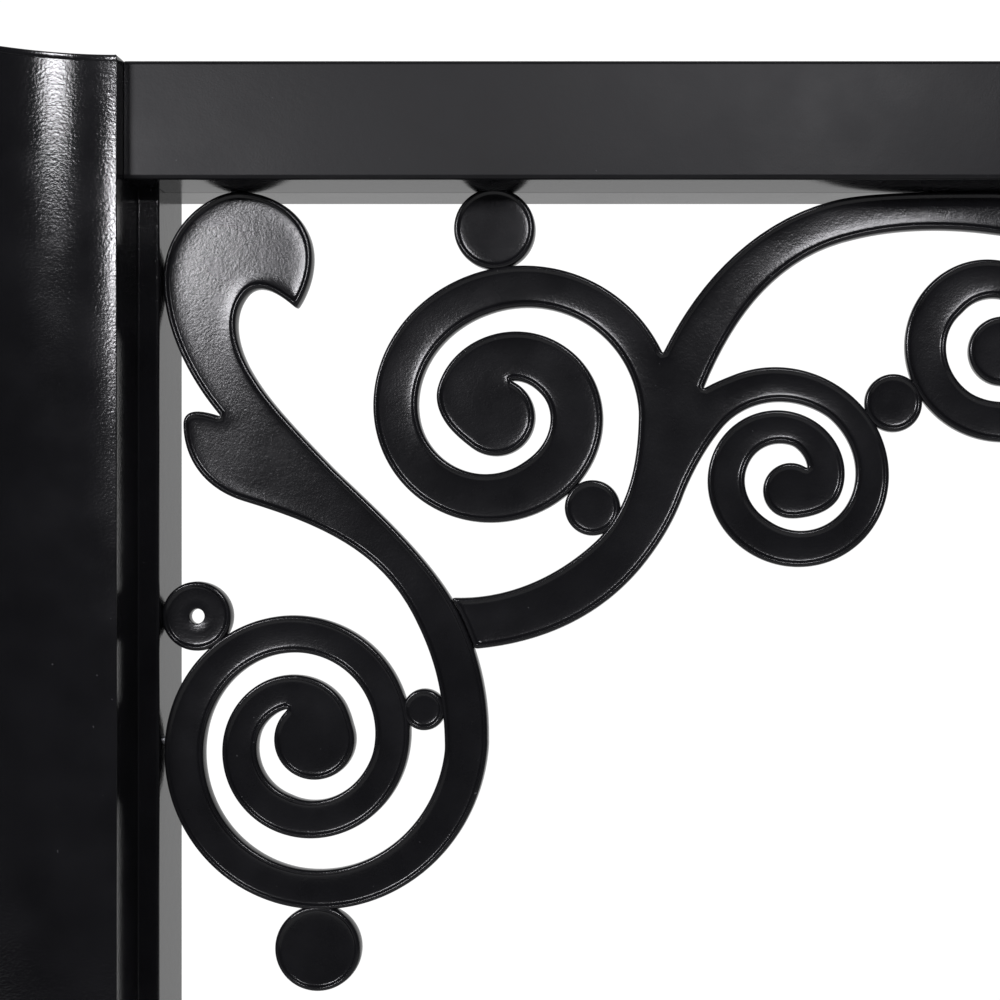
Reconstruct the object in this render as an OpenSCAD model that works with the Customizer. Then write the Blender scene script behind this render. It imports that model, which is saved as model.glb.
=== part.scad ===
// Garden portal arch: two shaped posts, a two-part top rail and a pair of cast scroll brackets.
// Millimetres, +Z up. X runs across the opening, the front is towards -Y, and the ground is Z = 0.

/* [Arch] */
// Clear width between the two posts
opening_w = 1200; // [900:10:1800]
// Height from the ground to the top of the rail
arch_h = 2150; // [1800:10:2600]

/* [Posts] */
// Width of a post, across the opening
post_w = 120; // [110:1:140]
// Wall thickness of a post
post_wall = 3; // [2:0.5:4]
// Radius of the two hollow coves on a post's front
cove_r = 86; // [80:1:120]
// Width of the flat nose between the two coves
nose_w = 12; // [8:1:20]
// Thickness of the plate that closes a post's top
cap_t = 3; // [2:0.5:5]

/* [Feet] */
// Width of a base plate
plate_w = 200; // [180:5:260]
// Depth of a base plate
plate_d = 180; // [160:5:240]
// Thickness of a base plate
plate_t = 8; // [6:1:12]
// Diameter of the ground bolt holes
plate_hole_d = 14; // [10:1:18]
// Height of the spigot that a post slides over
spigot_h = 150; // [130:10:250]

/* [Rail] */
// Height of the rail
rail_h = 50; // [46:1:60]
// Depth of the front half of the rail, from its face to the seam
rail_front_d = 26; // [24:1:32]
// Depth of the back half of the rail, from the seam to its back
rail_back_d = 24; // [22:1:28]
// Wall thickness of the rail
rail_wall = 2.5; // [2:0.5:3]

/* [Castings] */
// Thickness of the scroll castings and discs
casting_t = 7; // [6:0.5:10]
// Width of the raised rim along every edge
rim_w = 3.5; // [2.5:0.5:4]
// Depth of the sunk face inside the rim, on both sides
recess_d = 1; // [0.5:0.25:1.5]
// Diameter of the hole through the drilled disc
hook_hole_d = 6.5; // [5:0.5:8]

/* [Hidden] */

left = -1;
right = 1;
eps = 0.05;
$fn = 48;

coat = [0.07, 0.07, 0.08];
cast_coat = [0.09, 0.09, 0.1];
zinc = [0.55, 0.56, 0.58];

// Y of the plane that holds the rail's seam and the middle of the castings
plane_y = 12;
// Z of the rail's underside
rail_z = arch_h - rail_h;

// Post section, measured from the flange's inner face and from the seam plane
ledge_w = 9;
ledge_y = -8;
shoulder_y = -34;
post_back_y = rail_back_d;

// Fixings
clearance = 0.4;
drill_l = 30;
stud_d = 4;
stud_bite = 7;
stud_reach = 12;
nut_h = 3;
joiner_l = 80;
joiner_wall = 3;
joiner_plate_t = 4;
joiner_gap = 0.3;
lip_t = 1.5;
lip_l = 12;
joiner_h = rail_h - 2 * (rail_wall + lip_t) - 1;
joiner_screw_d = 6;
joiner_screw_inset = 14;
joiner_screw_spread = 22;
joiner_screw_head_h = 4;
rail_screw_d = 5;
rail_screw_l = 12;
rail_screw_head_h = 2.5;
rail_screw_x = [25, 60];
foot_screw_d = 8;
foot_screw_l = 12;
foot_screw_head_h = 4;
foot_screw_x = 30;
foot_screw_heights = [45, 105];

// ---------------------------------------------------------------- plane curves

function mix(a, b, t) = a + (b - a) * t;

// Value at the fraction t along a list of evenly spaced values
function along(values, t) =
    let (last = len(values) - 1, i = min(floor(t * last), last - 1))
    mix(values[i], values[i + 1], t * last - i);

function arc(centre, r, from, to, steps) =
    [for (i = [0:steps]) centre + r * [cos(mix(from, to, i / steps)), sin(mix(from, to, i / steps))]];

function bezier(p, q, r, s, t) =
    pow(1 - t, 3) * p + 3 * t * pow(1 - t, 2) * q + 3 * t * t * (1 - t) * r + pow(t, 3) * s;

// Chain of curves: a start point, then two handles and an end point for each curve
function curve_chain(points, steps) = concat(
    [points[0]],
    [for (i = [0:3:len(points) - 4], j = [1:steps])
        bezier(points[i], points[i + 1], points[i + 2], points[i + 3], j / steps)]);

// ---------------------------------------------------------------- scrolls

// Each scroll is a band that winds inwards from its root to a round bud:
// centre, winding (1 is anticlockwise), root angle, turn to the end,
// root radius, pitch of one turn, extra radius at the root, swell of its oval, lean of its oval,
// band widths from root to end, bud centre, bud radius.
// Positions are from the corner where the rail's underside meets the post, with +Z up.
leaf_spiral = [[60, -238.5], -1, 0, 740,
    73, 25.5, 9, 0.015, 90,
    [18.5, 17, 17, 16, 15, 17, 14.5, 15, 15], [65.5, -237.5], 17.5];
ring_spiral = [[147.5, -95.5], 1, 0, 590,
    68.5, 26.5, 5, 0.025, 15,
    [16.5, 18.5, 19.5, 22.5, 23, 20, 20], [144, -97.5], 17];
middle_spiral = [[270.5, -124], -1, 140, 590,
    51, 19, 0, 0.025, 150,
    [16.5, 13.5, 15, 16.5, 16, 14, 17, 17], [272, -129.5], 12];
end_spiral = [[361, -63], -1, 90, 510,
    57, 23.5, 6, 0, 0,
    [18, 18.5, 17, 19, 14, 14], [364, -69], 15];

// Turn over which a band's outer edge lands on its bud
landing = 70;
// Turn by which a stem runs on into the band at its end
root_lap = 3;
// Turn of one straight step along a band
band_step = 9;

function end_turn(s) = s[3];
function bud_centre(s) = s[10];
function bud_radius(s) = s[11];

function band_radius(s, turn, a) =
    (s[4] - s[5] * turn / 360 + s[6] * (1 + cos(min(turn, 180))) / 2) * (1 + s[7] * cos(2 * (a - s[8])));

function on_scroll(s, turn, inward) =
    let (a = s[2] + s[1] * turn)
    s[0] + (band_radius(s, turn, a) - inward) * [cos(a), sin(a)];

function outer_edge(s, turn) =
    let (
        p = on_scroll(s, turn, 0),
        q = bud_centre(s) + bud_radius(s) * (p - bud_centre(s)) / norm(p - bud_centre(s)),
        t = max(1 - (end_turn(s) - turn) / landing, 0))
    mix(p, q, t * t * (3 - 2 * t));

function inner_edge(s, turn) = on_scroll(s, turn, along(s[9], turn / end_turn(s)));

function band_outline(s) =
    let (steps = round(end_turn(s) / band_step), step = end_turn(s) / steps)
    concat(
        [for (i = [0:steps]) outer_edge(s, i * step)],
        [for (i = [steps:-1:0]) inner_edge(s, i * step)]);

// Leaf and stem: up the outer edge from the spiral, round the head and back down the inner edge
leaf_shape = curve_chain([
    outer_edge(leaf_spiral, root_lap), [141.9, -219], [136.5, -196],
    [124, -175], [112, -156], [94, -139.5],
    [74, -120.5], [60, -106], [46.5, -92],
    [40, -81.5], [31, -68], [28.5, -54],
    [35.5, -45], [39.5, -39.5], [47, -41],
    [57.5, -50.5], [63.5, -42], [67.5, -28],
    [62, -17], [57, -6], [44, 0],
    [32.5, 0], [20, 0], [0, -15],
    [0, -38], [0, -58], [10, -80],
    [25, -97.5], [18, -95], [9.5, -93],
    [8.7, -100], [8.5, -116], [18, -129.5],
    [36, -134.5], [76, -146.5], [98, -160],
    [111, -189], [118, -204], [121.9, -219],
    inner_edge(leaf_spiral, root_lap)], 8);

// Branch from the stem to the fork, and on along the underside of the rail, then back
branch_shape = curve_chain([
    [125, -176], [147, -177], [169, -168.5],
    [187, -152], [200, -140], [206, -122],
    inner_edge(ring_spiral, 0), [206, -92], [210, -82],
    [215, -73.5], [228, -45], [252, -14],
    [290, -4], [305, 0], [335, 0],
    outer_edge(end_spiral, 0), [364, -5], [364, -13],
    inner_edge(end_spiral, 0), [340, -15], [318, -15.5],
    [300, -20], [268, -27], [248, -51],
    [234, -85.5], [238, -83], [246, -79.5],
    outer_edge(middle_spiral, 30), [250, -85], [244, -95],
    inner_edge(middle_spiral, 0), [235.5, -110], [229.5, -121],
    [225.5, -131], [222, -141], [216, -152],
    [206.5, -163.5], [190, -183], [166, -195.5],
    [135, -198.2], [132, -190], [129, -183],
    [125, -176]], 8);

// A stem and its scrolls in one closed outline, which the zero offset merges them into
module casting_outline(stem, scrolls) {
    offset(delta = 0) {
        polygon(stem);
        for (s = scrolls) {
            polygon(band_outline(s));
            translate(bud_centre(s)) circle(bud_radius(s));
        }
    }
}

module leaf_outline() {
    casting_outline(leaf_shape, [leaf_spiral]);
}

module branch_outline() {
    casting_outline(branch_shape, [ring_spiral, middle_spiral, end_spiral]);
}

// ---------------------------------------------------------------- placing

module on_side(side) {
    if (side == left) children();
    else mirror([1, 0, 0]) children();
}

// From the left corner under the rail to the arch's own frame
module at_corner() {
    translate([-opening_w / 2, plane_y, rail_z]) children();
}

// Stands a flat outline upright, centred on the seam plane
module upright(thickness) {
    translate([0, thickness / 2, 0]) rotate([90, 0, 0]) linear_extrude(thickness) children();
}

// Lays a section drawn in Y and Z along X
module along_x(length) {
    rotate([90, 0, 90]) linear_extrude(length) children();
}

module rod_x(d, length) {
    rotate([0, 90, 0]) cylinder(d = d, h = length);
}

module rod_back(d, length) {
    rotate([-90, 0, 0]) cylinder(d = d, h = length);
}

// Cuts the second child into both faces of the first
module sunk_casting() {
    difference() {
        upright(casting_t) children(0);
        for (face = [-1, 1])
            translate([0, face * (casting_t - recess_d) / 2 + face * eps, 0])
                upright(recess_d + 2 * eps) children(1);
    }
}

// ---------------------------------------------------------------- posts

// Distance of the cove's surface from its centre, at a place across the section
function cove_depth(across, inset) =
    sqrt(pow(cove_r + inset, 2) - pow(across - ledge_w, 2));

// Half of the post's section, from the flange's inner face to the middle
function half_post(inset) = concat(
    [[inset, post_back_y - inset],
     [inset, ledge_y + inset],
     [ledge_w + inset, ledge_y + inset]],
    [for (i = [0:10])
        let (across = mix(ledge_w + inset, (post_w - nose_w) / 2, i / 10))
        [across, shoulder_y - cove_r + cove_depth(across, inset)]]);

function post_outline(inset) =
    let (half = half_post(inset))
    concat(half, [for (i = [len(half) - 1:-1:0]) [post_w - half[i][0], half[i][1]]]);

// Section of the left post, moved so that its flange faces the opening
module post_section(inset) {
    mirror([1, 0]) polygon(post_outline(inset));
}

module corner_post(z) {
    translate([-opening_w / 2, plane_y, z]) children();
}

module post(side) {
    color(coat) on_side(side) difference() {
        corner_post(plate_t) linear_extrude(arch_h - cap_t - plate_t) difference() {
            post_section(0);
            post_section(post_wall);
        }
        at_corner() stud_row(stud_d + clearance);
        joiner_screw_places() rod_x(joiner_screw_d + clearance, drill_l);
        foot_screw_places() rod_back(foot_screw_d + clearance, drill_l);
    }
}

module post_cap(side) {
    plug_h = 12;
    plug_wall = 2;
    plug_gap = 0.3;
    color(coat) on_side(side) corner_post(arch_h - cap_t) {
        linear_extrude(cap_t) post_section(0);
        translate([0, 0, -plug_h]) linear_extrude(plug_h) difference() {
            post_section(post_wall + plug_gap);
            post_section(post_wall + plug_gap + plug_wall);
        }
    }
}

// ---------------------------------------------------------------- feet

// Middle of the left post, on the ground
foot_x = -opening_w / 2 - post_w / 2;
foot_hole_x = plate_w / 2 - 22;
foot_hole_y = plate_d / 2 - 22;
spigot_w = post_w - 2 * (ledge_w + post_wall) - 2;
spigot_front_y = shoulder_y + post_wall + 1;
spigot_back_y = post_back_y - post_wall - 1;
spigot_wall = 4;

module base_plate(side) {
    corner_r = 12;
    color(coat) on_side(side) translate([foot_x, 0, 0]) difference() {
        union() {
            translate([-plate_w / 2, corner_r - plate_d / 2, 0])
                cube([plate_w, plate_d - 2 * corner_r, plate_t]);
            translate([corner_r - plate_w / 2, -plate_d / 2, 0])
                cube([plate_w - 2 * corner_r, plate_d, plate_t]);
            for (x = [-1, 1], y = [-1, 1])
                translate([x * (plate_w / 2 - corner_r), y * (plate_d / 2 - corner_r), 0])
                    cylinder(r = corner_r, h = plate_t);
        }
        for (x = [-1, 1], y = [-1, 1])
            translate([x * foot_hole_x, y * foot_hole_y, -1])
                cylinder(d = plate_hole_d, h = plate_t + 2);
    }
}

module foot_spigot(side) {
    depth = spigot_back_y - spigot_front_y;
    color(zinc) on_side(side) difference() {
        translate([foot_x - spigot_w / 2, plane_y + spigot_front_y, plate_t]) difference() {
            cube([spigot_w, depth, spigot_h]);
            translate([spigot_wall, spigot_wall, -1])
                cube([spigot_w - 2 * spigot_wall, depth - 2 * spigot_wall, spigot_h + 2]);
        }
        foot_screw_places() rod_back(foot_screw_d, drill_l);
    }
}

// Inside ends of the screws that hold a post to its spigot, from the back
module foot_screw_places() {
    for (x = [-1, 1], z = foot_screw_heights)
        translate([foot_x + x * foot_screw_x, plane_y + spigot_back_y - foot_screw_l, plate_t + z])
            children();
}

module foot_screws() {
    shank = foot_screw_l + post_back_y - spigot_back_y;
    color(zinc) for (side = [left, right]) on_side(side) foot_screw_places() {
        rod_back(foot_screw_d, shank + 1);
        translate([0, shank, 0]) rod_back(1.75 * foot_screw_d, foot_screw_head_h);
    }
}

// ---------------------------------------------------------------- rail

// Open channel between two depths, closed towards the outer one
module channel(depth) {
    edge_r = 2;
    difference() {
        polygon(concat(
            [[0, 0]],
            arc([depth - edge_r, edge_r], edge_r, -90, 0, 5),
            arc([depth - edge_r, rail_h - edge_r], edge_r, 0, 90, 5),
            [[0, rail_h]]));
        translate([-1, rail_wall]) square([depth - rail_wall + 1, rail_h - 2 * rail_wall]);
    }
}

module rail_front() {
    length = opening_w + 2 * ledge_w;
    color(coat) difference() {
        translate([-length / 2, plane_y, rail_z]) along_x(length) mirror([1, 0]) channel(rail_front_d);
        for (side = [left, right]) on_side(side) {
            translate([-opening_w / 2 - ledge_w - 1, plane_y + ledge_y, rail_z - 1])
                cube([ledge_w + 1, -ledge_y + 1, rail_h + 2]);
            at_corner() stud_row(stud_d + clearance);
        }
    }
}

module rail_back() {
    color(coat) difference() {
        translate([-opening_w / 2, plane_y, rail_z]) along_x(opening_w) {
            channel(rail_back_d);
            for (z = [rail_wall, rail_h - rail_wall - lip_t])
                translate([-lip_l, z]) square([lip_l + rail_back_d - rail_wall + 1, lip_t]);
        }
        for (side = [left, right]) on_side(side) {
            at_corner() stud_row(stud_d + clearance);
            rail_screw_places() rod_back(rail_screw_d + clearance, drill_l);
        }
    }
}

// Box that fills the end of the rail, with a plate against the post's flange
module rail_joiner(side) {
    front = -rail_front_d + rail_wall + joiner_gap;
    depth = rail_back_d - rail_wall - joiner_gap - front;
    base = rail_z + (rail_h - joiner_h) / 2;
    color(zinc) on_side(side) difference() {
        translate([-opening_w / 2, plane_y + front, base]) difference() {
            cube([joiner_l, depth, joiner_h]);
            translate([joiner_plate_t, joiner_wall, joiner_wall])
                cube([joiner_l, depth - 2 * joiner_wall, joiner_h - 2 * joiner_wall]);
        }
        joiner_screw_places() rod_x(joiner_screw_d + clearance, drill_l);
        rail_screw_places() rod_back(rail_screw_d, drill_l);
    }
}

module joiner_screw_places() {
    for (z = [-1, 1])
        translate([-opening_w / 2 - joiner_screw_inset, plane_y + rail_back_d / 2 - 2,
                   rail_z + (rail_h + z * joiner_screw_spread) / 2]) children();
}

module joiner_screws() {
    reach = joiner_screw_inset + joiner_plate_t;
    color(zinc) for (side = [left, right]) on_side(side) joiner_screw_places() {
        rod_x(joiner_screw_d, reach + 1);
        translate([reach, 0, 0]) rod_x(1.7 * joiner_screw_d, joiner_screw_head_h);
    }
}

module rail_screw_places() {
    for (x = rail_screw_x)
        translate([-opening_w / 2 + x, plane_y + rail_back_d - rail_screw_l, rail_z + rail_h / 2])
            children();
}

module rail_screws() {
    color(zinc) for (side = [left, right]) on_side(side) rail_screw_places() {
        rod_back(rail_screw_d, rail_screw_l + 1);
        translate([0, rail_screw_l, 0]) rod_back(1.8 * rail_screw_d, rail_screw_head_h);
    }
}

// ---------------------------------------------------------------- castings

module leaf_scroll(side) {
    color(cast_coat) on_side(side) at_corner() difference() {
        sunk_casting() {
            leaf_outline();
            offset(delta = -rim_w) leaf_outline();
        }
        stud_row(stud_d);
    }
}

module branch_scroll(side) {
    color(cast_coat) on_side(side) at_corner() difference() {
        sunk_casting() {
            offset(delta = 0) difference() {
                branch_outline();
                leaf_outline();
            }
            offset(delta = -rim_w) branch_outline();
        }
        stud_row(stud_d);
    }
}

// Round disc with a raised rim. The second child is what it is cut back to.
module disc(centre, r) {
    difference() {
        sunk_casting() {
            translate(centre) circle(r, $fn = 96);
            translate(centre) circle(r - rim_w, $fn = 96);
        }
        upright(casting_t + 2) children();
        stud_row(stud_d);
    }
}

rail_disc_at = [143.5, -16];
rail_disc_r = 17.5;
fork_disc_at = [186, -137];
fork_disc_r = 12;
link_disc_at = [316.5, -91.5];
link_disc_r = 12.5;
drilled_disc_at = [14.5, -184];
drilled_disc_r = 15;
small_disc_at = [113, -224.5];
small_disc_r = 9;
drop_disc_at = [67, -328];
drop_disc_r = 18.5;

module rail_disc(side) {
    color(cast_coat) on_side(side) at_corner() disc(rail_disc_at, rail_disc_r) {
        branch_outline();
        translate([rail_disc_at[0] - rail_disc_r, 0]) square(2 * rail_disc_r);
    }
}

module fork_disc(side) {
    color(cast_coat) on_side(side) at_corner() disc(fork_disc_at, fork_disc_r) branch_outline();
}

module link_disc(side) {
    color(cast_coat) on_side(side) at_corner() disc(link_disc_at, link_disc_r) branch_outline();
}

module drilled_disc(side) {
    color(cast_coat) on_side(side) at_corner() difference() {
        disc(drilled_disc_at, drilled_disc_r) {
            leaf_outline();
            translate([-2 * drilled_disc_r, drilled_disc_at[1] - drilled_disc_r])
                square(2 * drilled_disc_r);
        }
        translate([drilled_disc_at[0], -casting_t, drilled_disc_at[1]])
            rod_back(hook_hole_d, 2 * casting_t);
    }
}

module small_disc(side) {
    color(cast_coat) on_side(side) at_corner() disc(small_disc_at, small_disc_r) leaf_outline();
}

module drop_disc(side) {
    color(cast_coat) on_side(side) at_corner() disc(drop_disc_at, drop_disc_r) leaf_outline();
}

// Studs that tie the castings to the rail above them and to the post beside them
rail_stud_x = [31, rail_disc_at[0], 335];
post_stud_z = [-38, -238];

module stud_row(d) {
    for (x = rail_stud_x)
        translate([x, 0, -stud_bite]) cylinder(d = d, h = stud_bite + stud_reach);
    for (z = post_stud_z)
        translate([-stud_reach, 0, z]) rod_x(d, stud_bite + stud_reach);
}

module scroll_studs(side) {
    nut_d = 2 * stud_d;
    color(zinc) on_side(side) at_corner() {
        stud_row(stud_d);
        for (x = rail_stud_x)
            translate([x, 0, rail_wall + lip_t]) cylinder(d = nut_d, h = nut_h, $fn = 6);
        for (z = post_stud_z)
            translate([-post_wall - nut_h, 0, z]) rotate([0, 90, 0]) cylinder(d = nut_d, h = nut_h, $fn = 6);
    }
}

// ---------------------------------------------------------------- nodes

post(left);  // post_left
post(right);  // post_right
post_cap(left);  // post_cap_left
post_cap(right);  // post_cap_right
base_plate(left);  // base_plate_left
base_plate(right);  // base_plate_right
foot_spigot(left);  // foot_spigot_left
foot_spigot(right);  // foot_spigot_right
foot_screws();
rail_front();
rail_back();
rail_joiner(left);  // rail_joiner_left
rail_joiner(right);  // rail_joiner_right
joiner_screws();
rail_screws();
leaf_scroll(left);  // leaf_scroll_left
leaf_scroll(right);  // leaf_scroll_right
branch_scroll(left);  // branch_scroll_left
branch_scroll(right);  // branch_scroll_right
rail_disc(left);  // rail_disc_left
rail_disc(right);  // rail_disc_right
fork_disc(left);  // fork_disc_left
fork_disc(right);  // fork_disc_right
link_disc(left);  // link_disc_left
link_disc(right);  // link_disc_right
drilled_disc(left);  // drilled_disc_left
drilled_disc(right);  // drilled_disc_right
small_disc(left);  // small_disc_left
small_disc(right);  // small_disc_right
drop_disc(left);  // drop_disc_left
drop_disc(right);  // drop_disc_right
scroll_studs(left);  // scroll_studs_left
scroll_studs(right);  // scroll_studs_right
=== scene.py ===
import math
from collections import namedtuple

import bmesh
import bpy
import numpy as np
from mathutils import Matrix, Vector, kdtree
from mathutils.geometry import delaunay_2d_cdt, tessellate_polygon


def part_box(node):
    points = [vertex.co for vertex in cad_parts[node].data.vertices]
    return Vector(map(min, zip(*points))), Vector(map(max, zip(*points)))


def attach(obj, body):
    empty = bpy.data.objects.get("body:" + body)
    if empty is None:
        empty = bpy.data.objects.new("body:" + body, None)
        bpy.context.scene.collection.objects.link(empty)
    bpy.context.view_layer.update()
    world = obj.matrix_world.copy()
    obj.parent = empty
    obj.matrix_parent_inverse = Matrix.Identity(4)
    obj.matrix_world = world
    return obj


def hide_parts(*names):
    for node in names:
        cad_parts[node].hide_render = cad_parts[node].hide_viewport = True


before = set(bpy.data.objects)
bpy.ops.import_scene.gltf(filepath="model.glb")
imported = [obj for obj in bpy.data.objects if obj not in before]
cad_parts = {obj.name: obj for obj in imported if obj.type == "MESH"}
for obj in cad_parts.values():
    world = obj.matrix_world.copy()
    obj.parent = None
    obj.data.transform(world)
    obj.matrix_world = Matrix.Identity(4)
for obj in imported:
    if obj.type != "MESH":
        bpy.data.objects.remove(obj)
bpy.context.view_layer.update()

# The arch is mirrored about X = 0. Shapes are drawn in millimetres for the left side, from the corner
# where the rail's underside meets the post, on the plane of the rail's seam: x along the rail, z up.

MM = 0.001
CORNER = Vector((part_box("rail_back")[0].x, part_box("rail_front")[1].y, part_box("rail_back")[0].z))


# ---------------------------------------------------------------- scroll outlines

# A scroll's band winds inwards from its root to a round bud, and its outer edge comes in by the pitch in
# each full turn. The flare sets the edge further out at the root, and fades over half a turn. The oval
# stretches the scroll along its lean. The band's widths are evenly spaced from the root to the end.
# The root and the lean are angles from the x axis, and the end is a turn from the root, all in degrees.
Spiral = namedtuple("Spiral", "centre winding root end radius pitch flare oval lean widths bud bud_radius")

LEAF_SPIRAL = Spiral(
    centre=(60, -238.5), winding=-1, root=0, end=740, radius=73, pitch=25.5, flare=9, oval=0.015, lean=90,
    widths=(18.5, 17, 17, 16, 15, 17, 14.5, 15, 15), bud=(65.5, -237.5), bud_radius=17.5)
RING_SPIRAL = Spiral(
    centre=(147.5, -95.5), winding=1, root=0, end=590, radius=68.5, pitch=26.5, flare=5, oval=0.025, lean=15,
    widths=(16.5, 18.5, 19.5, 22.5, 23, 20, 20), bud=(144, -97.5), bud_radius=17)
MIDDLE_SPIRAL = Spiral(
    centre=(270.5, -124), winding=-1, root=140, end=590, radius=51, pitch=19, flare=0, oval=0.025, lean=150,
    widths=(16.5, 13.5, 15, 16.5, 16, 14, 17, 17), bud=(272, -129.5), bud_radius=12)
END_SPIRAL = Spiral(
    centre=(361, -63), winding=-1, root=90, end=510, radius=57, pitch=23.5, flare=6, oval=0, lean=0,
    widths=(18, 18.5, 17, 19, 14, 14), bud=(364, -69), bud_radius=15)

LANDING = 70        # turn over which a band's outer edge lands on its bud
ROOT_LAP = 3        # turn by which the leaf's stem runs on into its band
BAND_STEP = 3       # turn of one straight step along a band
CURVE_STEPS = 16    # straight steps along one Bezier curve
SAME_POINT = 0.001  # points closer than this are one point in a union


def mix(a, b, t):
    return a + (b - a) * t


def along(values, t):
    """Value at the fraction t along a list of evenly spaced values."""
    last = len(values) - 1
    i = min(int(t * last), last - 1)
    return mix(values[i], values[i + 1], t * last - i)


def on_scroll(spiral, turn, inward):
    """Point of the scroll at a turn from its root, moved in from the outer edge."""
    a = math.radians(spiral.root + spiral.winding * turn)
    ease = (1 + math.cos(math.radians(min(turn, 180)))) / 2
    swell = 1 + spiral.oval * math.cos(2 * (a - math.radians(spiral.lean)))
    edge = spiral.radius - spiral.pitch * turn / 360 + spiral.flare * ease
    r = max(edge * swell - inward, 0)
    return np.array([spiral.centre[0] + r * math.cos(a), spiral.centre[1] + r * math.sin(a)])


def outer_edge(spiral, turn):
    """The band's outer edge, which lands on the bud over the last part of the turn."""
    bud = np.array(spiral.bud)
    p = on_scroll(spiral, turn, 0)
    q = bud + spiral.bud_radius * (p - bud) / np.linalg.norm(p - bud)
    t = max(1 - (spiral.end - turn) / LANDING, 0)
    return mix(p, q, t * t * (3 - 2 * t))


def inner_edge(spiral, turn):
    return on_scroll(spiral, turn, along(spiral.widths, turn / spiral.end))


def curve_chain(points):
    """Chain of Bezier curves: a start point, then two handles and an end point for each."""
    p = np.array(points, float)
    out = [p[:1]]
    t = (np.arange(CURVE_STEPS) + 1)[:, None] / CURVE_STEPS
    for i in range(0, len(p) - 3, 3):
        out.append((1 - t) ** 3 * p[i] + 3 * t * (1 - t) ** 2 * p[i + 1]
                   + 3 * t * t * (1 - t) * p[i + 2] + t ** 3 * p[i + 3])
    return np.concatenate(out)


# Leaf and stem: up the outer edge from the spiral, round the head and back down the inner edge
LEAF_STEM = [
    outer_edge(LEAF_SPIRAL, ROOT_LAP), (141.9, -219), (136.5, -196),
    (124, -175), (112, -156), (94, -139.5),
    (74, -120.5), (60, -106), (46.5, -92),
    (40, -81.5), (31, -68), (28.5, -54),
    (35.5, -45), (39.5, -39.5), (47, -41),
    (57.5, -50.5), (63.5, -42), (67.5, -28),
    (62, -17), (57, -6), (44, 0),
    (32.5, 0), (20, 0), (0, -15),
    (0, -38), (0, -58), (10, -80),
    (25, -97.5), (18, -95), (9.5, -93),
    (8.7, -100), (8.5, -116), (18, -129.5),
    (36, -134.5), (76, -146.5), (98, -160),
    (111, -189), (118, -204), (121.9, -219),
    inner_edge(LEAF_SPIRAL, ROOT_LAP)]
# Branch from the stem to the fork, and on along the underside of the rail, then back
BRANCH_STEM = [
    (125, -176), (147, -177), (169, -168.5),
    (187, -152), (200, -140), (206, -122),
    inner_edge(RING_SPIRAL, 0), (206, -92), (210, -82),
    (215, -73.5), (228, -45), (252, -14),
    (290, -4), (305, 0), (335, 0),
    outer_edge(END_SPIRAL, 0), (364, -5), (364, -13),
    inner_edge(END_SPIRAL, 0), (340, -15), (318, -15.5),
    (300, -20), (268, -27), (248, -51),
    (234, -85.5), (238, -83), (246, -79.5),
    outer_edge(MIDDLE_SPIRAL, 30), (250, -85), (244, -95),
    inner_edge(MIDDLE_SPIRAL, 0), (235.5, -110), (229.5, -121),
    (225.5, -131), (222, -141), (216, -152),
    (206.5, -163.5), (190, -183), (166, -195.5),
    (135, -198.2), (132, -190), (129, -183),
    (125, -176)]

# Centre and radius of each disc
DISCS = {"rail": ((143.5, -16), 17.5), "fork": ((186, -137), 12), "link": ((316.5, -91.5), 12.5),
         "drilled": ((14.5, -184), 15), "small": ((113, -224.5), 9), "drop": ((67, -328), 18.5)}
HOOK_HOLE_R = 3.25


def round_shape(centre, radius, steps=120):
    turns = [2 * math.pi * i / steps for i in range(steps)]
    return [(centre[0] + radius * math.cos(a), centre[1] + radius * math.sin(a)) for a in turns]


def band_quads(spiral):
    """Short four-sided pieces that together make a scroll's band."""
    steps = round(spiral.end / BAND_STEP)
    turns = [spiral.end * i / steps for i in range(steps + 1)]
    rows = [(outer_edge(spiral, t), inner_edge(spiral, t)) for t in turns]
    return [[a[0], b[0], b[1], a[1]] for a, b in zip(rows, rows[1:])]


def anticlockwise(shape):
    """The shape's points in the order that has its area on the left."""
    q = np.array(shape)
    x, y = q[:, 0], q[:, 1]
    turned = (x * np.roll(y, -1) - y * np.roll(x, -1)).sum() < 0
    return shape[::-1] if turned else shape


def scroll_shapes(stem, spirals):
    """The overlapping shapes that make up one casting."""
    shapes = [list(curve_chain(stem))]
    for spiral in spirals:
        shapes += band_quads(spiral)
        shapes.append(round_shape(spiral.bud, spiral.bud_radius))
    return shapes


def union_loops(shapes, cut=None):
    """Outlines of the area that overlapping shapes cover, without the area of cut.
    Each outline has the area on its left."""
    points, faces = [], []
    for shape in shapes + ([cut] if cut is not None else []):
        faces.append(list(range(len(points), len(points) + len(shape))))
        points += [Vector(p) for p in anticlockwise(shape)]
    verts, _, tris, _, _, source = delaunay_2d_cdt(points, [], faces, 0, SAME_POINT)
    edges = set()
    for tri, src in zip(tris, source):
        if src and max(src) < len(shapes):
            edges.update(zip(tri, tri[1:] + tri[:1]))
    after = {a: b for a, b in edges if (b, a) not in edges}
    loops = []
    while after:
        start, here = next(iter(after.items()))
        loop = [start]
        del after[start]
        while here != start:
            loop.append(here)
            here = after.pop(here)
        loops.append(np.array([verts[i] for i in loop]))
    return loops


def resampled(loop, count_at):
    """Points along a closed loop, where count_at is a growing number at each of its points."""
    closed = np.vstack([loop, loop[:1]])
    n = max(int(round(count_at[-1])), 12)
    want = np.arange(n) / n * count_at[-1]
    return np.column_stack([np.interp(want, count_at, closed[:, k]) for k in (0, 1)])


def lengths(loop):
    """Length along a closed loop at each of its points, and at its end."""
    step = np.linalg.norm(np.roll(loop, -1, 0) - loop, axis=1)
    return np.concatenate([[0], np.cumsum(step)])


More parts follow.
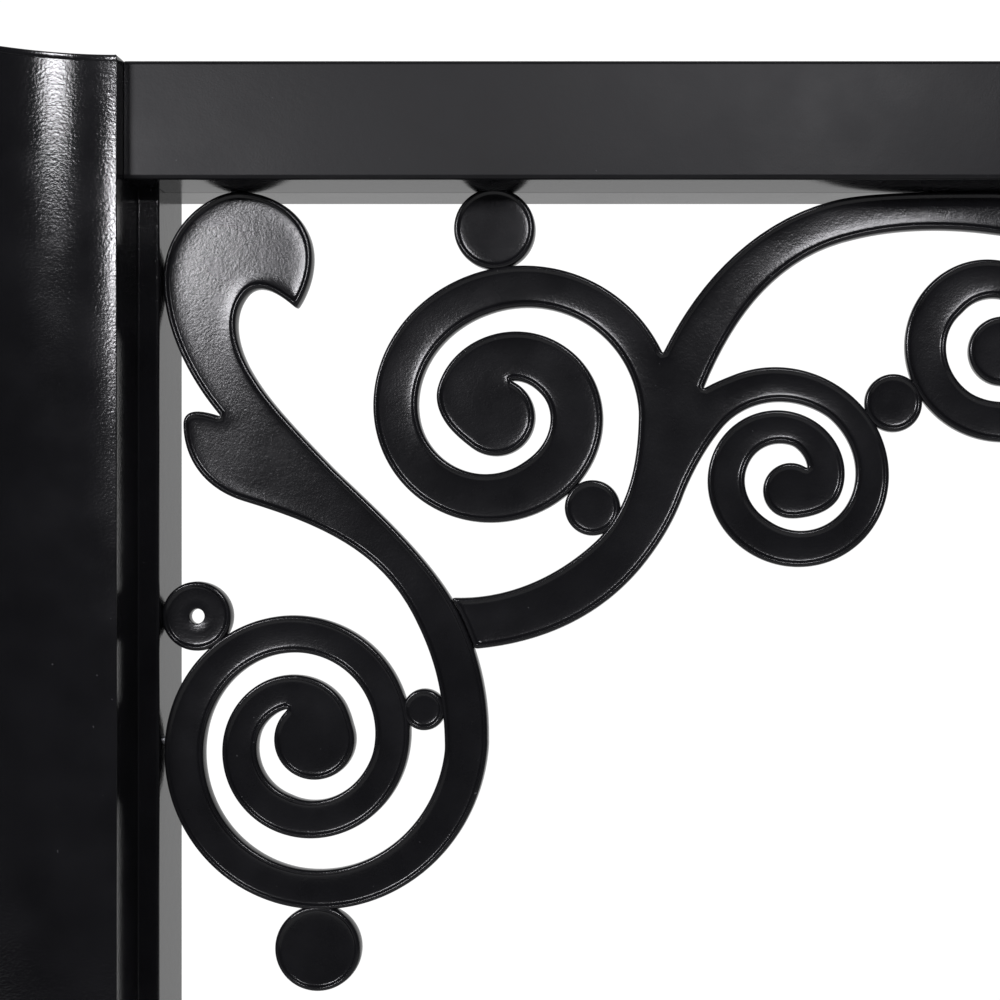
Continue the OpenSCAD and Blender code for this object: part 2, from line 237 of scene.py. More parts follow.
def softened(loop, fine=0.3, radius=0.8):
    """The loop with evenly spaced points and its sharp corners rounded."""
    s = lengths(loop)
    loop = resampled(loop, s / fine)
    reach = int(3 * radius / fine)
    weight = np.exp(-0.5 * (np.arange(-reach, reach + 1) * fine / radius) ** 2)
    weight /= weight.sum()
    return sum(w * np.roll(loop, -k, 0) for w, k in zip(weight, range(-reach, reach + 1)))


def tangent(loop):
    """Unit vectors along a closed loop, at each of its points."""
    d = np.roll(loop, -1, 0) - np.roll(loop, 1, 0)
    return d / np.linalg.norm(d, axis=1)[:, None]


def thinned(loop, spacing=1.6, turn=math.radians(11), least=0.3):
    """Fewer points where the loop is straight, more where it turns."""
    t = tangent(loop)
    nxt = np.roll(t, -1, 0)
    bend = np.abs(np.arctan2(t[:, 0] * nxt[:, 1] - t[:, 1] * nxt[:, 0], (t * nxt).sum(1)))
    step = np.diff(lengths(loop))
    density = np.clip(bend / step / turn, 1 / spacing, 1 / least)
    blur = np.ones(5) / 5
    density = np.convolve(np.concatenate([density[-2:], density, density[:2]]), blur, "valid")
    return resampled(loop, np.concatenate([[0], np.cumsum(density * step)]))


class Field:
    """Distance from the edge of an area, and the side of it that a point is on."""

    def __init__(self, loops, keep):
        points = np.vstack(loops)
        inward = np.vstack([normals(loop) for loop in loops])
        chosen = np.concatenate(keep)
        self.points, self.inward = points[chosen], inward[chosen]
        self.tree = kdtree.KDTree(len(self.points))
        for i, p in enumerate(self.points):
            self.tree.insert((p[0], p[1], 0), i)
        self.tree.balance()

    def depth(self, p):
        near, i, dist = self.tree.find((p[0], p[1], 0))
        side = (p[0] - near[0]) * self.inward[i][0] + (p[1] - near[1]) * self.inward[i][1]
        return dist if side >= 0 else -dist


def normals(loop):
    """Unit vectors into the area, at each point of its outline."""
    t = tangent(loop)
    return np.column_stack([-t[:, 1], t[:, 0]])


# ---------------------------------------------------------------- section of a casting

HALF_T = 3.5       # half the thickness of a casting
EDGE_R = 1.35      # round of the outer edges
CREST_END = 1.65   # where the rim starts to fall inwards
STEP_W = 1.3       # width of the steep inner side of the rim
STEP_H = 0.75      # height of that side
DISH_W = 8         # width over which the face goes on sinking
DISH_H = 0.35      # depth of that dish
PARTING = 0.12     # the middle of the edge stands out by this much
BUTT_LAP = 1.2     # the branch runs this far into the leaf's rim

# Depths of the rings of points on the rounded edge, and on the face
WALL_RINGS = [0.42, 0.22, 0.1, 0.0]
FACE_RINGS = [0.74, 1.15, 1.6, 1.85, 2.1, 2.4, 2.7, 3.0, 3.8, 5.2, 7.4]
GRID = 3.2         # spacing of the points inside the rings
RING_STEP = 0.22   # least distance between a ring's points
RING_GAP = 2.6     # points of a ring further apart than this aren't joined
EDGE_SLACK = 0.05  # another edge may be nearer to a ring's point by this much
ON_EDGE = 0.3      # points nearer to an edge than this lie on it
CUT_MARGIN = 0.35  # the branch's outline lies on the cut where it is nearer to it than this


def rim_height(depth):
    """Distance of the face from the middle plane, by distance from the outline."""
    if depth < EDGE_R:
        return HALF_T - EDGE_R + math.sqrt(max(EDGE_R ** 2 - (EDGE_R - depth) ** 2, 0))
    step = min(max((depth - CREST_END) / STEP_W, 0), 1)
    dish = min(max((depth - CREST_END) / DISH_W, 0), 1)
    return HALF_T - STEP_H * (1 - (1 - step) ** 2) - DISH_H * (1 - (1 - dish) ** 3)


def ring_points(loop, free, depth, field):
    """Points of the loop moved in by depth, without those that another edge is nearer to."""
    keep = []
    for p, is_free in zip(loop + normals(loop) * depth, free):
        good = is_free and field.depth(p) > depth - EDGE_SLACK
        if good and keep and keep[-1] is not None and np.linalg.norm(p - keep[-1]) < RING_STEP:
            continue
        keep.append(p if good else None)
    return keep


def face_mesh(loops, free, field):
    """Flat triangulation of the area inside the first ring: points, heights, triangles, first rings."""
    points, depths, edges, faces = [], [], [], []
    for loop, is_free in zip(loops, free):
        first = len(points)
        points += [Vector(p) for p in loop + normals(loop) * FACE_RINGS[0]]
        depths += [FACE_RINGS[0] if ok else field.depth(p) for ok, p in zip(is_free, points[first:])]
        faces.append(list(range(first, len(points))))
        for depth in FACE_RINGS[1:]:
            ids = []
            for p in ring_points(loop, is_free, depth, field):
                if p is not None:
                    points.append(Vector(p))
                    depths.append(depth)
                    ids.append(len(points) - 1)
            for a, b in zip(ids, ids[1:] + ids[:1]):
                if a != b and (points[a] - points[b]).length < RING_GAP:
                    edges.append((a, b))
    low = np.min([loop.min(0) for loop in loops], 0)
    high = np.max([loop.max(0) for loop in loops], 0)
    row_step = GRID * math.sqrt(3) / 2
    for row in range(int((high[1] - low[1]) / row_step) + 1):
        for column in range(int((high[0] - low[0]) / GRID) + 1):
            p = Vector((low[0] + (column + row % 2 / 2) * GRID, low[1] + row * row_step))
            depth = field.depth(p)
            if depth > FACE_RINGS[-1] + GRID / 2:
                points.append(p)
                depths.append(depth)
    verts, _, tris, which, _, source = delaunay_2d_cdt(points, edges, faces, 0, 1e-5)
    tris = [t for t, src in zip(tris, source) if len(src) % 2]
    heights = [rim_height(depths[w[0]] if w else field.depth(v)) for v, w in zip(verts, which)]
    index = {i: k for k, w in enumerate(which) for i in w}
    return verts, heights, tris, [[index[i] for i in face] for face in faces]


def casting_shell(loops, free):
    """Closed shell of a casting: a sunk face on both sides and a rounded edge between them."""
    field = Field(loops, free)
    thin = [thinned(loop) for loop in loops]
    is_free = [near_free(loop, field) for loop in thin]
    flat, heights, tris, rims = face_mesh(thin, is_free, field)
    n = len(flat)
    verts = [(p[0], -h, p[1]) for p, h in zip(flat, heights)]
    verts += [(p[0], h, p[1]) for p, h in zip(flat, heights)]
    faces = [tuple(t) for t in tris]
    faces += [tuple(n + i for i in reversed(t)) for t in tris]
    for loop, rim in zip(thin, rims):
        inward = normals(loop)
        rows = [list(rim)]
        steps = [(d, -1) for d in WALL_RINGS] + [(-PARTING, 0)] + [(d, 1) for d in reversed(WALL_RINGS)]
        for depth, face in steps:
            rows.append(list(range(len(verts), len(verts) + len(loop))))
            for p, i in zip(loop + inward * depth, rim):
                verts.append((p[0], face * min(rim_height(max(depth, 0)), heights[i]), p[1]))
        rows.append([n + i for i in rim])
        for front, back in zip(rows, rows[1:]):
            for i in range(len(loop)):
                j = (i + 1) % len(loop)
                faces.append((front[i], back[i], back[j], front[j]))
    return verts, faces


def near_free(loop, field):
    """Which points lie on the edge that the field knows, and not on a cut."""
    return np.array([abs(field.depth(p)) < ON_EDGE for p in loop])


# ---------------------------------------------------------------- pieces

def in_arch(v, side):
    """A point in the left corner's millimetres, in the arch's frame on that side."""
    x = CORNER.x + v[0] * MM
    return Vector((x if side == "left" else -x, CORNER.y + v[1] * MM, CORNER.z + v[2] * MM))


def add_piece(name, bm, slot, material, *nodes):
    """Puts the mesh in the scene as a piece that stands for these CAD nodes."""
    bmesh.ops.remove_doubles(bm, verts=bm.verts, dist=1e-6)
    for face in bm.faces:
        face.smooth = True
    mesh = bpy.data.meshes.new(name)
    bm.to_mesh(mesh)
    bm.free()
    mesh.materials.append(material)
    piece = bpy.data.objects.new(name, mesh)
    bpy.context.scene.collection.objects.link(piece)
    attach(piece, "root")
    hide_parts(*nodes)
    return piece


def shell_mesh(verts, faces, side):
    """Mesh of a shell drawn in the left corner's millimetres."""
    bm = bmesh.new()
    made = [bm.verts.new(in_arch(v, side)) for v in verts]
    for face in faces:
        order = face if side == "left" else face[::-1]
        bm.faces.new([made[i] for i in order])
    return bm


def even_shading(piece):
    """Large flat faces keep flat shading next to narrow rounded edges."""
    weighted = piece.modifiers.new("even_shading", "WEIGHTED_NORMAL")
    weighted.weight = 100
    weighted.keep_sharp = True


def add_castings(material):
    """The leaf, and the branch that butts against the leaf's stem."""
    leaf = [softened(q) for q in union_loops(scroll_shapes(LEAF_STEM, [LEAF_SPIRAL]))]
    leaf_free = [np.ones(len(q), bool) for q in leaf]
    outer = max(leaf, key=len)
    cut = thinned(outer, spacing=1.0)
    cut = cut + normals(cut) * BUTT_LAP
    branch = union_loops(scroll_shapes(BRANCH_STEM, [RING_SPIRAL, MIDDLE_SPIRAL, END_SPIRAL]), list(cut))
    branch = [softened(max(branch, key=len))]
    edge = Field([outer], [np.ones(len(outer), bool)])
    branch_free = [np.array([edge.depth(p) < BUTT_LAP - CUT_MARGIN for p in branch[0]])]
    shells = {"leaf_scroll": casting_shell(leaf, leaf_free),
              "branch_scroll": casting_shell(branch, branch_free)}
    for name, (verts, faces) in shells.items():
        for side in ("left", "right"):
            bm = shell_mesh(verts, faces, side)
            bmesh.ops.join_triangles(bm, faces=bm.faces, angle_face_threshold=0.35,
                                     angle_shape_threshold=0.8)
            add_piece(f"cast_{name}_{side}", bm, "cast_coat", material, f"{name}_{side}")


# ---------------------------------------------------------------- discs

DISC_STEPS = 96    # points round a disc
HOLE_ROUND = 0.6   # round of the drilled hole's edges
HOLE_CLEAR = 2     # the rim's rings keep this far from the hole, or from a plain disc's middle
INNER_STEP = 2.5   # distance between the rings on the flat part of the face


def disc_profile(radius, hole_r):
    """Radius and height of each ring on one face, from the edge inwards."""
    rings = [(radius - d, rim_height(d)) for d in reversed(WALL_RINGS)]
    rings += [(radius - d, rim_height(d)) for d in FACE_RINGS if radius - d > hole_r + HOLE_CLEAR]
    inner = hole_r + HOLE_ROUND if hole_r else INNER_STEP
    last = rings[-1][0]
    count = max(int((last - inner) / INNER_STEP), 1)
    rings += [(mix(last, inner, i / count), rings[-1][1]) for i in range(1, count + 1)]
    if hole_r:
        top = rings[-1][1]
        for turn in (30, 60, 90):
            a = math.radians(turn)
            rings.append((inner - HOLE_ROUND * math.sin(a), top - HOLE_ROUND * (1 - math.cos(a))))
    return rings


def disc_shell(centre, radius, hole_r):
    """Closed shell of a disc with the castings' section. The hole's radius is 0 where there is none."""
    front = disc_profile(radius, hole_r)
    rings = [(r, -h) for r, h in reversed(front)] + [(radius + PARTING, 0)] + [(r, h) for r, h in front]
    verts, faces = [], []
    for r, y in rings:
        verts += [(x, y, z) for x, z in round_shape(centre, r, DISC_STEPS)]
    rows = [list(range(k * DISC_STEPS, (k + 1) * DISC_STEPS)) for k in range(len(rings))]
    pairs = list(zip(rows, rows[1:]))
    if hole_r:
        pairs.append((rows[-1], rows[0]))
    for a, b in pairs:
        for i in range(DISC_STEPS):
            j = (i + 1) % DISC_STEPS
            faces.append((a[i], b[i], b[j], a[j]))
    if not hole_r:
        for row, y, flip in ((rows[0], rings[0][1], False), (rows[-1], rings[-1][1], True)):
            middle = len(verts)
            verts.append((centre[0], y, centre[1]))
            for i in range(DISC_STEPS):
                pair = (row[i], row[(i + 1) % DISC_STEPS])
                faces.append((middle, *(pair[::-1] if flip else pair)))
    return verts, faces


def trim_flat(bm, at, outwards):
    """Cuts off what lies outside a plane and closes the cut."""
    geometry = bm.verts[:] + bm.edges[:] + bm.faces[:]
    cut = bmesh.ops.bisect_plane(bm, geom=geometry, dist=1e-8, plane_co=at, plane_no=outwards,
                                 clear_outer=True)
    edges = [e for e in cut["geom_cut"] if isinstance(e, bmesh.types.BMEdge)]
    if edges:
        bmesh.ops.edgeloop_fill(bm, edges=edges)


def add_discs(material):
    """The discs, two of them with a flat where they meet the rail or the post."""
    for name, (centre, radius) in DISCS.items():
        verts, faces = disc_shell(centre, radius, HOOK_HOLE_R if name == "drilled" else 0)
        for side in ("left", "right"):
            bm = shell_mesh(verts, faces, side)
            if name == "rail":
                trim_flat(bm, in_arch((0, 0, 0), side), (0, 0, 1))
            if name == "drilled":
                trim_flat(bm, in_arch((0, 0, 0), side), (-1 if side == "left" else 1, 0, 0))
            add_piece(f"cast_{name}_disc_{side}", bm, "cast_coat", material, f"{name}_disc_{side}")


# ---------------------------------------------------------------- posts and caps

POST_BOX = [(p - CORNER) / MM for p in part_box("post_left")]
POST_W = POST_BOX[1].x - POST_BOX[0].x
BACK_Y = POST_BOX[1].y
FRONT_Y = POST_BOX[0].y
WALL = 3            # thickness of the extrusion's wall
LEDGE_W = 9         # width of the ledge on each side of the coved front
LEDGE_Y = -8        # the ledge's face
SHOULDER_Y = -34    # the shoulder, where a cove starts
NOSE_W = 12         # the flat nose between the two coves
COVE_STEPS = 40     # straight steps along one cove
POST_ROUND = 1.2    # round of the post's outer edges
INNER_ROUND = 0.8   # round of its inner ones, and of the plug's
CORNER_SHARE = 0.45  # part of a side that the round of one corner may take
CAP_T = (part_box("post_cap_left")[1].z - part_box("post_left")[1].z) / MM
CAP_ROUND = 0.9     # round of the cap's upper edge
CAP_CHAMFER = 0.35  # chamfer of its lower edge
PLUG_GAP = 0.3      # between the cap's plug and the post's wall
PLUG_WALL = 2       # thickness of the plug's wall


def cove(inset):
    """Points along half of a post's hollow front, from the shoulder to the nose."""
    across = (POST_W - NOSE_W) / 2 - LEDGE_W
    rise = SHOULDER_Y - FRONT_Y
    radius = (across ** 2 + rise ** 2) / (2 * rise)
    middle_y = SHOULDER_Y - radius
    steps = [mix(inset, across, i / COVE_STEPS) for i in range(COVE_STEPS + 1)]
    return [(LEDGE_W + u, middle_y + math.sqrt((radius + inset) ** 2 - u ** 2)) for u in steps]


def rounded(points, radii, steps=5):
    """Closed outline with an arc of the given radius at each corner, or the plain corner at radius 0."""
    out = []
    for i, (p, r) in enumerate(zip(points, radii)):
        p = np.array(p, float)
        if not r:
            out.append(p)
            continue
        a = np.array(points[i - 1], float) - p
        b = np.array(points[(i + 1) % len(points)], float) - p
        reach = min(r, CORNER_SHARE * np.linalg.norm(a), CORNER_SHARE * np.linalg.norm(b))
        a, b = p + a / np.linalg.norm(a) * reach, p + b / np.linalg.norm(b) * reach
        for k in range(steps + 1):
            t = k / steps
            out.append((1 - t) ** 2 * a + 2 * t * (1 - t) * p + t * t * b)
    return np.array(out)


def post_outline(inset, soft):
    """Anticlockwise outline of the left post's section, seen from above."""
    half = [(inset, BACK_Y - inset), (inset, LEDGE_Y + inset), (LEDGE_W + inset, LEDGE_Y + inset)]
    half += cove(inset)
    other = [(POST_W - u, y) for u, y in reversed(half)]
    # rounds of the back, the ledge, the inner corner and the shoulder, then of the cove's points and the nose
    radii = [soft, soft, 0.6 * soft, 0.35 * soft] + [0] * (len(half) - 5) + [1.5 * soft]
    points = [(-u, y) for u, y in half + other]
    return rounded(points, radii + radii[::-1])


def upright_tube(rows, bottom_hole=None, top_hole=None):
    """Closed solid through outlines at given heights: rows of (outline, z), lowest first.
    With a hole, the inner wall runs from the bottom hole's row to the top hole's row."""
    verts, faces = [], []

    def wall(levels, inside):
        ids = []
        for outline, z in levels:
            ids.append(list(range(len(verts), len(verts) + len(outline))))
            verts.extend((x, y, z) for x, y in outline)
        for low, high in zip(ids, ids[1:]):
            for i in range(len(low)):
                j = (i + 1) % len(low)
                quad = (low[i], low[j], high[j], high[i])
                faces.append(quad[::-1] if inside else quad)
        return ids[0], ids[-1]

    def lid(rings, up):
        flat = [[Vector(verts[i]) for i in ring] for ring in rings]
        order = [i for ring in rings for i in ring]
        for tri in tessellate_polygon(flat):
            a, b, c = (order[i] for i in tri)
            p, q, r = (Vector(verts[i]) for i in (a, b, c))
            is_up = (q - p).cross(r - p).z > 0
            faces.append((a, b, c) if is_up == up else (c, b, a))

    low, high = wall(rows, False)
    if bottom_hole:
        inner_low, inner_high = wall([bottom_hole, top_hole], True)
        lid([low, inner_low], False)
        lid([high, inner_high], True)
    else:
        lid([low], False)
        lid([high], True)
    return verts, faces


def moved_in(loop, inset):
    return loop + normals(loop) * inset


def add_posts(material):
    """The posts, and the caps with their plugs."""
    outer = anticlockwise(post_outline(0, POST_ROUND))
    inner = anticlockwise(post_outline(WALL, INNER_ROUND))
    low, high = POST_BOX[0].z, POST_BOX[1].z
    post = upright_tube([(outer, low), (outer, high)], (inner, low), (inner, high))

    steps = [math.radians(a) for a in (0, 22.5, 45, 67.5, 90)]
    rows = [(moved_in(outer, CAP_CHAMFER), high), (outer, high + CAP_CHAMFER)]
    rows += [(moved_in(outer, CAP_ROUND * (1 - math.cos(a))), high + CAP_T - CAP_ROUND * (1 - math.sin(a)))
             for a in steps]
    plate = upright_tube(rows)
    plug_outer = anticlockwise(post_outline(WALL + PLUG_GAP, INNER_ROUND))
    plug_inner = anticlockwise(post_outline(WALL + PLUG_GAP + PLUG_WALL, INNER_ROUND))
    plug_low = (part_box("post_cap_left")[0].z - CORNER.z) / MM
    plug_high = high + CAP_T / 2
    plug = upright_tube([(plug_outer, plug_low), (plug_outer, plug_high)], (plug_inner, plug_low),
                        (plug_inner, plug_high))
    offset = len(plate[0])
    cap = (plate[0] + plug[0], plate[1] + [tuple(i + offset for i in f) for f in plug[1]])
    for side in ("left", "right"):
        for kind, node, shell in (("post", "post", post), ("cap", "post_cap", cap)):
            piece = add_piece(f"shaped_{kind}_{side}", shell_mesh(*shell, side), "extruded_coat", material,
                              f"{node}_{side}")
            even_shading(piece)


# ---------------------------------------------------------------- rails, plates and screws

SHARP_EDGE = math.radians(35)  # edges that turn by more than this are rounded


def eased_copy(node, width):
    """The CAD solid with every sharp edge rounded by width, in metres."""
    bm = bmesh.new()
    bm.from_mesh(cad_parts[node].data)
    bmesh.ops.remove_doubles(bm, verts=bm.verts, dist=1e-6)
    bmesh.ops.dissolve_limit(bm, angle_limit=math.radians(1), verts=bm.verts, edges=bm.edges)
    sharp = [e for e in bm.edges if e.is_manifold and e.calc_face_angle(0) > SHARP_EDGE]
    bmesh.ops.bevel(bm, geom=sharp, offset=width, segments=3, profile=0.5, affect="EDGES",
                    clamp_overlap=True)
    return bm


SCREW_STEPS = 48       # points round a screw
SOCKET = 0.42          # the socket's corner radius, as a part of the head's radius
SOCKET_FLOOR = 0.35    # height of its floor, as a part of the head's height
SOCKET_LIP = 0.45      # width of the chamfer round the socket
SOCKET_DROP = 0.15     # depth of that chamfer
DOME_RIM = 0.6         # the dome would end this far from the socket
HEAD_CHAMFER = 0.2     # chamfer under the head
TIP_TAPER = 0.2        # chamfer of the shank's tip, as a part of its radius


def screw_shell(at, head_r, head_h, shank_r, length):
    """Round-headed screw with a six-sided socket. Its tip points forwards, and its head is towards +Y."""
    steps = SCREW_STEPS
    turns = [2 * math.pi * i / steps for i in range(steps)]
    socket = SOCKET * head_r
    profile = [((1 - TIP_TAPER) * shank_r, -length), (shank_r, -length + TIP_TAPER * shank_r), (shank_r, 0),
               (head_r - HEAD_CHAMFER, 0), (head_r, HEAD_CHAMFER)]
    for dome_angle in range(12, 73, 12):
        a = math.radians(dome_angle)
        profile.append((mix(socket + DOME_RIM, head_r, math.cos(a)),
                        HEAD_CHAMFER + (head_h - HEAD_CHAMFER) * math.sin(a)))
    profile.append((socket + SOCKET_LIP, head_h))
    verts, faces = [], []
    for r, y in profile:
        verts += [(at[0] + r * math.cos(a), at[1] + y, at[2] + r * math.sin(a)) for a in turns]
    for y in (head_h - SOCKET_DROP, SOCKET_FLOOR * head_h):
        for a in turns:
            r = socket * math.cos(math.pi / 6) / math.cos((a % (math.pi / 3)) - math.pi / 6)
            verts.append((at[0] + r * math.cos(a), at[1] + y, at[2] + r * math.sin(a)))
    rows = len(profile) + 2
    for k in range(rows - 1):
        for i in range(steps):
            j = (i + 1) % steps
            faces.append((k * steps + j, k * steps + i, (k + 1) * steps + i, (k + 1) * steps + j))
    faces.append(tuple(range(steps)))
    faces.append(tuple(reversed(range((rows - 1) * steps, rows * steps))))
    return verts, faces


def add_screws(name, node, places, head, shank, length, material):
    """A set of screws as one piece. The head is its radius and height, and the shank its radius."""
    bm = bmesh.new()
    for side in ("left", "right"):
        for at in places:
            part = shell_mesh(*screw_shell(at, *head, shank, length), side)
            mesh = bpy.data.meshes.new("screw")
            part.to_mesh(mesh)
            part.free()
            bm.from_mesh(mesh)
            bpy.data.meshes.remove(mesh)
    bmesh.ops.recalc_face_normals(bm, faces=bm.faces)
    piece = add_piece(name, bm, "zinc", material, node)
    even_shading(piece)


FOOT_SCREW_X = (-30, 30)   # from the post's middle
FOOT_SCREW_Z = (45, 105)   # above the base plate
RAIL_SCREW_X = (25, 60)    # from the rail's end


def add_all_screws(material):
    foot = (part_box("base_plate_left")[1].z - CORNER.z) / MM
    foot_places = [(x - POST_W / 2, BACK_Y, foot + z) for x in FOOT_SCREW_X for z in FOOT_SCREW_Z]
    add_screws("foot_screw_set", "foot_screws", foot_places, head=(7, 4), shank=4, length=16,
               material=material)

    rail_top = (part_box("rail_back")[1] - CORNER) / MM
    rail_places = [(x, rail_top.y, rail_top.z / 2) for x in RAIL_SCREW_X]
    add_screws("rail_screw_set", "rail_screws", rail_places, head=(4.5, 2.5), shank=2.5, length=12,
               material=material)


def add_eased(node, width, material):
    """A CAD piece again, with its sharp edges rounded by width, in metres."""
    even_shading(add_piece(f"eased_{node}", eased_copy(node, width), "extruded_coat", material, node))


def coat_hidden(material, *names):
    """CAD pieces inside the arch that are shown as they are."""
    for name in names:
        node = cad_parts[name]
        node.data.materials.clear()
        node.data.materials.append(material)


# ---------------------------------------------------------------- materials

PALE_BLACK = (0.0135, 0.0135, 0.0155)
DEEP_BLACK = (0.0085, 0.0085, 0.0098)
SPECK_GREY = (0.09, 0.09, 0.095, 1)
PATCH_SCALE = 40
SPECK_SCALE = 420


def noise(nodes, links, vector, scale, detail, roughness=0.5):
    texture = nodes.new("ShaderNodeTexNoise")
    texture.inputs["Scale"].default_value = scale
    texture.inputs["Detail"].default_value = detail
    texture.inputs["Roughness"].default_value = roughness
    links.new(vector, texture.inputs["Vector"])
    return texture.outputs["Fac"]


def ramp(nodes, links, fac, stops):
    """Colour by a value: two stops of (position, colour)."""
    node = nodes.new("ShaderNodeValToRGB")
    for element, (position, colour) in zip(node.color_ramp.elements, stops):
        element.position = position
        element.color = (*colour, 1)
    links.new(fac, node.inputs["Fac"])
    return node.outputs["Color"]


def spread(nodes, links, value, low, high, source=(0.3, 0.7)):
    """The value moved from the source range to low and high."""
    node = nodes.new("ShaderNodeMapRange")
    node.inputs["From Min"].default_value = source[0]
    node.inputs["From Max"].default_value = source[1]
    node.inputs["To Min"].default_value = low
    node.inputs["To Max"].default_value = high
    links.new(value, node.inputs["Value"])
    return node.outputs["Result"]


def coat(name, ior, roughness, grain, grain_depth, swell_depth, specks, under=None):
    """Baked black powder coat: a fine grain over a slow orange peel, and a few light specks.
    Faces that look down can have a roughness of their own."""
    mat = bpy.data.materials.new(name)
    mat.use_nodes = True
    nodes, links = mat.node_tree.nodes, mat.node_tree.links
    shader = nodes["Principled BSDF"]
    place = nodes.new("ShaderNodeTexCoord").outputs["Object"]

    fine = nodes.new("ShaderNodeBump")
    fine.inputs["Strength"].default_value = 1
    fine.inputs["Distance"].default_value = grain_depth
    links.new(noise(nodes, links, place, grain, 3, 0.6), fine.inputs["Height"])
    slow = nodes.new("ShaderNodeBump")
    slow.inputs["Strength"].default_value = 1
    slow.inputs["Distance"].default_value = swell_depth
    links.new(noise(nodes, links, place, grain / 4, 2), slow.inputs["Height"])
    links.new(slow.outputs["Normal"], fine.inputs["Normal"])
    links.new(fine.outputs["Normal"], shader.inputs["Normal"])

    patches = noise(nodes, links, place, PATCH_SCALE, 5)
    tone = ramp(nodes, links, patches, ((0.3, DEEP_BLACK), (0.75, PALE_BLACK)))
    motes = noise(nodes, links, place, SPECK_SCALE, 1)
    dust = ramp(nodes, links, motes, ((0.80 - specks, (0, 0, 0)), (0.84 - specks, (1, 1, 1))))
    speckled = nodes.new("ShaderNodeMix")
    speckled.data_type = "RGBA"
    links.new(dust, speckled.inputs["Factor"])
    links.new(tone, speckled.inputs[6])
    speckled.inputs[7].default_value = SPECK_GREY
    links.new(speckled.outputs[2], shader.inputs["Base Color"])
    gloss = spread(nodes, links, patches, roughness - 0.02, roughness + 0.03)
    if under:
        upright = nodes.new("ShaderNodeSeparateXYZ")
        links.new(nodes.new("ShaderNodeTexCoord").outputs["Normal"], upright.inputs["Vector"])
        blend = nodes.new("ShaderNodeMix")
        links.new(spread(nodes, links, upright.outputs["Z"], 1, 0, (-0.95, -0.6)), blend.inputs["Factor"])
        links.new(gloss, blend.inputs[2])
        blend.inputs[3].default_value = under
        gloss = blend.outputs[0]
    links.new(gloss, shader.inputs["Roughness"])
    shader.inputs["IOR"].default_value = ior
    return mat


def plating(name):
    """Zinc plating: a metal with faint streaks and dull blotches."""
    mat = bpy.data.materials.new(name)
    mat.use_nodes = True
    nodes, links = mat.node_tree.nodes, mat.node_tree.links
    shader = nodes["Principled BSDF"]
    place = nodes.new("ShaderNodeTexCoord").outputs["Object"]
    stretch = nodes.new("ShaderNodeMapping")
    stretch.inputs["Scale"].default_value = (1, 1, 0.15)
    links.new(place, stretch.inputs["Vector"])
    streaks = noise(nodes, links, stretch.outputs["Vector"], 900, 3)
    blotches = noise(nodes, links, place, 120, 4)
    links.new(ramp(nodes, links, blotches, ((0.3, (0.46, 0.47, 0.5)), (0.7, (0.66, 0.67, 0.69)))),
              shader.inputs["Base Color"])
    links.new(spread(nodes, links, blotches, 0.28, 0.42), shader.inputs["Roughness"])
    bump = nodes.new("ShaderNodeBump")
    bump.inputs["Distance"].default_value = 0.00002
    links.new(streaks, bump.inputs["Height"])
    links.new(bump.outputs["Normal"], shader.inputs["Normal"])
    shader.inputs["Metallic"].default_value = 1
    return mat


# ---------------------------------------------------------------- camera and studio

CAMERA_OFFSET = Vector((0.25435, -0.781, -0.177))  # from the corner, in metres


def set_camera():
    data = bpy.data.cameras.new("camera")
    data.lens = 64.67
    data.sensor_width = 36
    data.shift_x = -0.25
    data.shift_y = 0.10
    camera = bpy.data.objects.new("camera", data)
    camera.location = CORNER + CAMERA_OFFSET
    camera.rotation_euler = (math.radians(90), 0, 0)
    bpy.context.scene.collection.objects.link(camera)
    bpy.context.scene.camera = camera


def area_light(name, azimuth, elevation, distance, width, height, radiance):
    """Soft box that faces the corner of the arch. Azimuth is from straight ahead, to the right."""
    data = bpy.data.lights.new(name, "AREA")
    data.shape = "RECTANGLE"
    data.size = width
    data.size_y = height
    data.energy = radiance * math.pi * width * height
    data.color = (0.97, 0.96, 1.0)
    light = bpy.data.objects.new(name, data)
    turn, lift = math.radians(azimuth), math.radians(elevation)
    aim = Vector((math.sin(turn) * math.cos(lift), -math.cos(turn) * math.cos(lift), math.sin(lift)))
    light.location = CORNER + aim * distance
    light.rotation_euler = aim.to_track_quat("Z", "Y").to_euler()
    light.visible_camera = False
    bpy.context.scene.collection.objects.link(light)


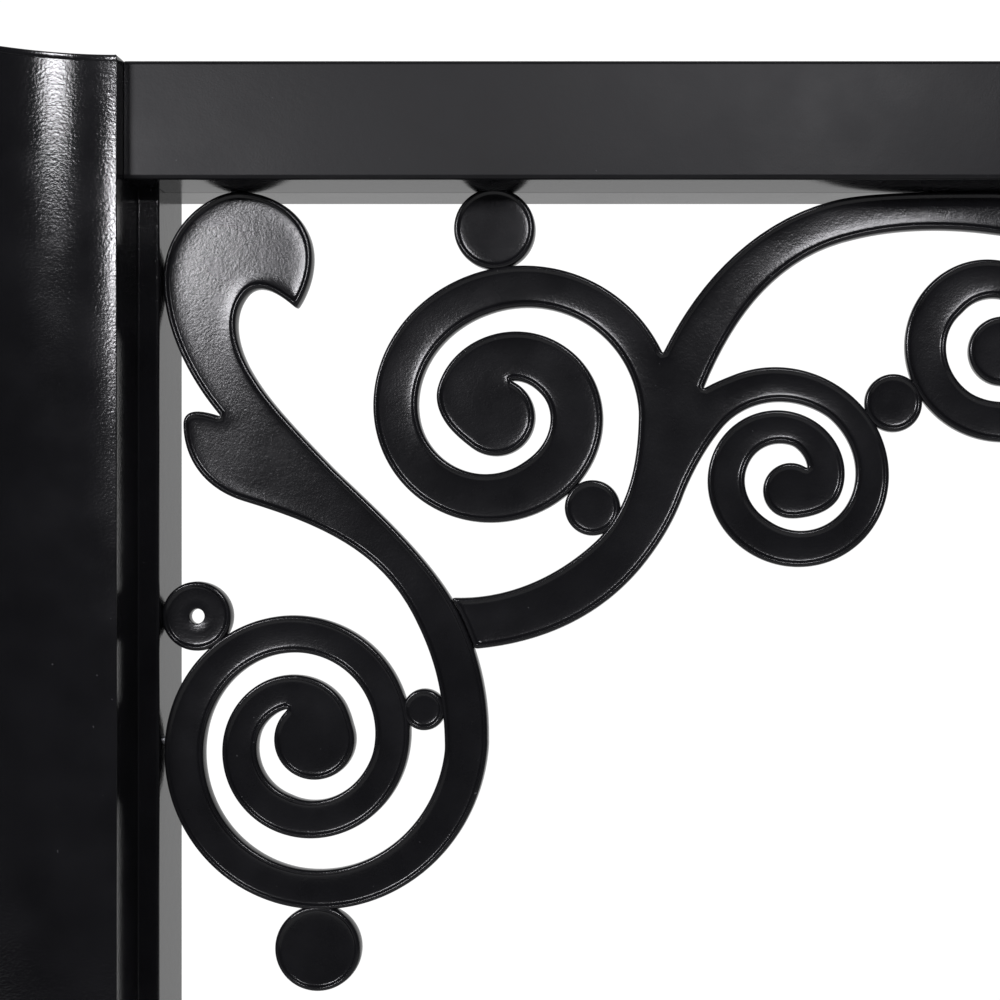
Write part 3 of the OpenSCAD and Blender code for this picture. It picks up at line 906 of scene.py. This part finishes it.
def set_world():
    """White surroundings behind the arch, and a dim room in front of it."""
    world = bpy.data.worlds.new("studio")
    bpy.context.scene.world = world
    world.use_nodes = True
    nodes, links = world.node_tree.nodes, world.node_tree.links
    room = nodes["Background"]
    split = nodes.new("ShaderNodeSeparateXYZ")
    links.new(nodes.new("ShaderNodeTexCoord").outputs["Generated"], split.inputs["Vector"])
    backwards = spread(nodes, links, split.outputs["Y"], 0, 1, (-1, 1))
    shades = ramp(nodes, links, backwards, ((0.42, (0.03, 0.03, 0.033)), (0.6, (1, 1, 1))))
    links.new(shades, room.inputs["Color"])
    room.inputs["Strength"].default_value = 0.8
    seen = nodes.new("ShaderNodeBackground")
    seen.inputs["Color"].default_value = (1, 1, 1, 1)
    seen.inputs["Strength"].default_value = 1.05
    switch = nodes.new("ShaderNodeMixShader")
    links.new(nodes.new("ShaderNodeLightPath").outputs["Is Camera Ray"], switch.inputs["Fac"])
    links.new(room.outputs["Background"], switch.inputs[1])
    links.new(seen.outputs["Background"], switch.inputs[2])
    links.new(switch.outputs["Shader"], nodes["World Output"].inputs["Surface"])


def make_floor():
    half = 6.0
    corners = [(-half, -half, 0), (half, -half, 0), (half, half, 0), (-half, half, 0)]
    mesh = bpy.data.meshes.new("floor")
    mesh.from_pydata(corners, [], [(0, 1, 2, 3)])
    floor = bpy.data.objects.new("floor", mesh)
    bpy.context.scene.collection.objects.link(floor)
    mat = bpy.data.materials.new("floor")
    mat.use_nodes = True
    shader = mat.node_tree.nodes["Principled BSDF"]
    shader.inputs["Base Color"].default_value = (0.8, 0.8, 0.8, 1)
    shader.inputs["Roughness"].default_value = 0.7
    mesh.materials.append(mat)


# ---------------------------------------------------------------- the arch

set_camera()
set_world()
make_floor()
area_light("stripe_box", azimuth=10.3, elevation=19.8, distance=1.9, width=0.32, height=0.29, radiance=30)
area_light("side_box", azimuth=-25, elevation=10.8, distance=3.2, width=0.9, height=0.27, radiance=50)
bpy.context.scene.view_settings.view_transform = "Standard"

post_coat = coat("post_coat", ior=1.6, roughness=0.12, grain=900, grain_depth=0.00005,
                 swell_depth=0.00003, specks=0)
rail_coat = coat("rail_coat", ior=1.3, roughness=0.38, grain=1200, grain_depth=0.00002,
                 swell_depth=0.00002, specks=0, under=0.14)
back_coat = coat("back_coat", ior=1.6, roughness=0.16, grain=1200, grain_depth=0.00002,
                 swell_depth=0.00002, specks=0)
cast_coat = coat("cast_coat", ior=1.42, roughness=0.17, grain=1200, grain_depth=0.000035,
                 swell_depth=0.00003, specks=0.02)
zinc = plating("zinc")

add_castings(cast_coat)
add_discs(cast_coat)
add_posts(post_coat)
add_eased("rail_front", width=0.0009, material=rail_coat)
add_eased("rail_back", width=0.0006, material=back_coat)
add_eased("base_plate_left", width=0.0012, material=post_coat)
add_eased("base_plate_right", width=0.0012, material=post_coat)
add_all_screws(zinc)
coat_hidden(zinc, "foot_spigot_left", "foot_spigot_right", "rail_joiner_left", "rail_joiner_right",
            "joiner_screws", "scroll_studs_left", "scroll_studs_right")
